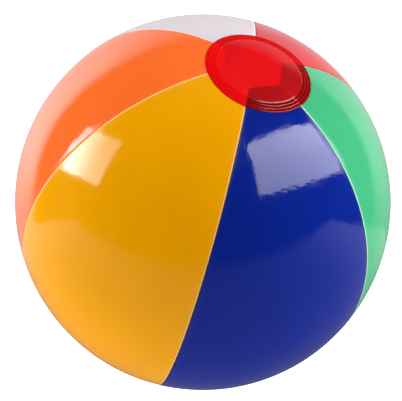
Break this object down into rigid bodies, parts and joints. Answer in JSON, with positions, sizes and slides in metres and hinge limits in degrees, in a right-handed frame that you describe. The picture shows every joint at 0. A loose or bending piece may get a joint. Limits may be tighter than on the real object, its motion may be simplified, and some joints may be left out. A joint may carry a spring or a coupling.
{
  "type": "inflatable beach ball",
  "caption": "Round inflatable ball of coloured film gores with a see-through patch at each end and a push-in air valve with a plug.",
  "frame": {"origin": "centre of the ball", "axes": "+Z along the ball's own axis, through the end disc that is laid slightly off centre; +Y out through the valve, in the middle of the white gore; -Y out through the middle of the blue gore"},
  "size_m": [0.324, 0.3274, 0.3252],
  "materials": {
    "blue_film": "glossy soft PVC film, opaque",
    "green_film": "glossy soft PVC film, opaque",
    "red_film": "glossy soft PVC film, opaque",
    "white_film": "glossy soft PVC film, opaque",
    "orange_film": "glossy soft PVC film, opaque",
    "yellow_film": "glossy soft PVC film, opaque",
    "clear_red_film": "glossy soft PVC film, see-through red",
    "moulded_vinyl": "satin moulded soft vinyl, cloudy white"
  },
  "bodies": {
    "ball": {"gore_blue": "blue_film", "gore_green": "green_film", "gore_red": "red_film", "gore_white": "white_film", "gore_orange": "orange_film", "gore_yellow": "yellow_film", "top_end_disc": "clear_red_film", "bottom_end_disc": "clear_red_film", "valve_flange": "moulded_vinyl", "valve_diaphragm": "moulded_vinyl"},
    "stem": {"valve_stem": "moulded_vinyl", "plug_strap": "moulded_vinyl"},
    "plug": {"valve_plug": "moulded_vinyl"},
    "flap": {"valve_flap": "moulded_vinyl"}
  },
  "joints": [
    {"name": "valve_slide", "type": "slide", "parent": "ball", "child": "stem", "axis": [0, 1, 0], "range_m": [0, 0.012], "deforming": ["valve_diaphragm"]},
    {"name": "plug_hinge", "type": "hinge", "parent": "stem", "child": "plug", "pos_m": [0.007, 0.16385, 0], "axis": [0, 0, -1], "range_deg": [0, 165], "deforming": ["plug_strap"]},
    {"name": "flap_hinge", "type": "hinge", "parent": "stem", "child": "flap", "pos_m": [0.0042, 0.14905, 0], "axis": [0, 0, 1], "range_deg": [0, 60], "stiffness_Nm_per_rad": 0.00002}
  ]
}
